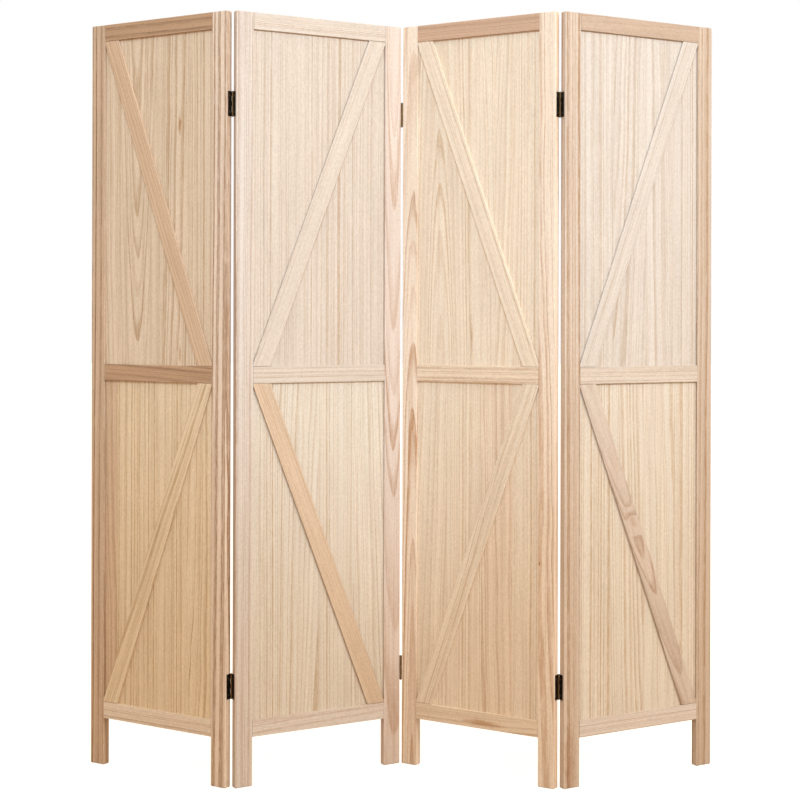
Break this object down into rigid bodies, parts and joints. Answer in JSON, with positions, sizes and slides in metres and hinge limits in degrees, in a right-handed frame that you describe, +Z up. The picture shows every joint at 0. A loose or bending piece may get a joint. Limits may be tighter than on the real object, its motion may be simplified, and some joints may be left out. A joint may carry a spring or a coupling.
{
  "type": "folding screen",
  "caption": "Free-standing wooden room divider: framed panels with thin boards and diagonal braces, joined edge to edge by butt hinges so that it stands in a zigzag or folds flat.",
  "frame": {"origin": "on the floor, in the middle of the footprint of the screen as it stands in its zigzag", "axes": "+Z up, +Y towards the back, +X to the right seen from the front; the middle fold is in the plane X = 0"},
  "size_m": [1.431, 0.2162, 1.7],
  "materials": {
    "frame_wood": "clear matte finish on pale solid softwood, grain along each member",
    "board_wood": "clear matte finish on thin pale boards with upright grain",
    "brace_wood": "clear matte finish on pale solid softwood, grain along the brace",
    "hinge_leaf_metal": "dark bronze finish, satin",
    "hinge_pin_metal": "dark bronze finish worn to dull brass at the tips"
  },
  "bodies": {
    "panel_1": {"panel_1_left_stile": "frame_wood", "panel_1_right_stile": "frame_wood", "panel_1_top_rail": "frame_wood", "panel_1_middle_rail": "frame_wood", "panel_1_bottom_rail": "frame_wood", "panel_1_upper_board": "board_wood", "panel_1_lower_board": "board_wood", "panel_1_upper_brace": "brace_wood", "panel_1_lower_brace": "brace_wood", "fold_left_upper_hinge_left_leaf": "hinge_leaf_metal", "fold_left_upper_hinge_pin": "hinge_pin_metal", "fold_left_lower_hinge_left_leaf": "hinge_leaf_metal", "fold_left_lower_hinge_pin": "hinge_pin_metal"},
    "panel_2": {"panel_2_left_stile": "frame_wood", "panel_2_right_stile": "frame_wood", "panel_2_top_rail": "frame_wood", "panel_2_middle_rail": "frame_wood", "panel_2_bottom_rail": "frame_wood", "panel_2_upper_board": "board_wood", "panel_2_lower_board": "board_wood", "panel_2_upper_brace": "brace_wood", "panel_2_lower_brace": "brace_wood", "fold_left_upper_hinge_right_leaf": "hinge_leaf_metal", "fold_left_lower_hinge_right_leaf": "hinge_leaf_metal", "fold_middle_upper_hinge_left_leaf": "hinge_leaf_metal", "fold_middle_upper_hinge_pin": "hinge_pin_metal", "fold_middle_lower_hinge_left_leaf": "hinge_leaf_metal", "fold_middle_lower_hinge_pin": "hinge_pin_metal"},
    "panel_3": {"panel_3_left_stile": "frame_wood", "panel_3_right_stile": "frame_wood", "panel_3_top_rail": "frame_wood", "panel_3_middle_rail": "frame_wood", "panel_3_bottom_rail": "frame_wood", "panel_3_upper_board": "board_wood", "panel_3_lower_board": "board_wood", "panel_3_upper_brace": "brace_wood", "panel_3_lower_brace": "brace_wood", "fold_middle_upper_hinge_right_leaf": "hinge_leaf_metal", "fold_middle_lower_hinge_right_leaf": "hinge_leaf_metal", "fold_right_upper_hinge_left_leaf": "hinge_leaf_metal", "fold_right_upper_hinge_pin": "hinge_pin_metal", "fold_right_lower_hinge_left_leaf": "hinge_leaf_metal", "fold_right_lower_hinge_pin": "hinge_pin_metal"},
    "panel_4": {"panel_4_left_stile": "frame_wood", "panel_4_right_stile": "frame_wood", "panel_4_top_rail": "frame_wood", "panel_4_middle_rail": "frame_wood", "panel_4_bottom_rail": "frame_wood", "panel_4_upper_board": "board_wood", "panel_4_lower_board": "board_wood", "panel_4_upper_brace": "brace_wood", "panel_4_lower_brace": "brace_wood", "fold_right_upper_hinge_right_leaf": "hinge_leaf_metal", "fold_right_lower_hinge_right_leaf": "hinge_leaf_metal"}
  },
  "joints": [
    {"name": "fold_left", "type": "hinge", "parent": "panel_2", "child": "panel_1", "pos_m": [-0.35904, -0.09335, 0], "axis": [0, 0, -1], "range_deg": [-60.5, 119.5]},
    {"name": "fold_middle", "type": "hinge", "parent": "panel_2", "child": "panel_3", "pos_m": [0, 0.09335, 0], "axis": [0, 0, -1], "range_deg": [-60.5, 119.5]},
    {"name": "fold_right", "type": "hinge", "parent": "panel_3", "child": "panel_4", "pos_m": [0.35904, -0.09335, 0], "axis": [0, 0, 1], "range_deg": [-60.5, 119.5]}
  ]
}
